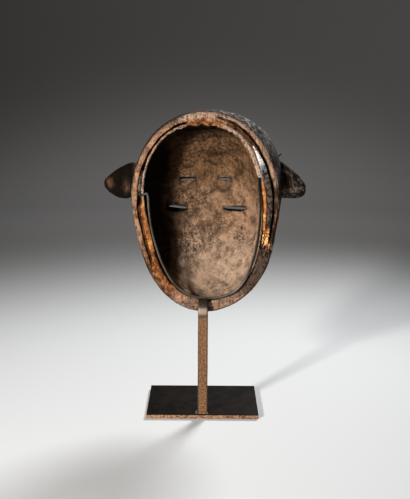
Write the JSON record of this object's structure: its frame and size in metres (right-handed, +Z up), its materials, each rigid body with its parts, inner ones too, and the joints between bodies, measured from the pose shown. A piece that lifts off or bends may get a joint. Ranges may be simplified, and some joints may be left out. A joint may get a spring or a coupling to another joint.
{
  "type": "carved wooden face mask on a metal display stand",
  "caption": "Hollow carved hardwood face mask with side ears, cradled on a bent rod, flat upright bar and flat foot plate.",
  "frame": {"origin": "middle of the foot plate's underside", "axes": "+Z up, -Y the way the carved face looks, +Y the open hollow side where the upright stands"},
  "size_m": [0.2678, 0.1365, 0.4081],
  "materials": {
    "carved_wood": "dark, worn and partly polished patina",
    "worn_strip": "dull, scratched and stained",
    "dark_iron": "satin, dark",
    "rusted_iron": "thin brown rust",
    "rusted_plate": "near black on top, brown rust at the edges"
  },
  "bodies": {
    "root": {"mask": "carved_wood", "rim_strip": "worn_strip", "rim_strip_remnant": "worn_strip", "temple_nail": "dark_iron", "cradle_rod": "dark_iron", "upright_bar": "rusted_iron", "foot_plate": "rusted_plate"}
  },
  "joints": []
}
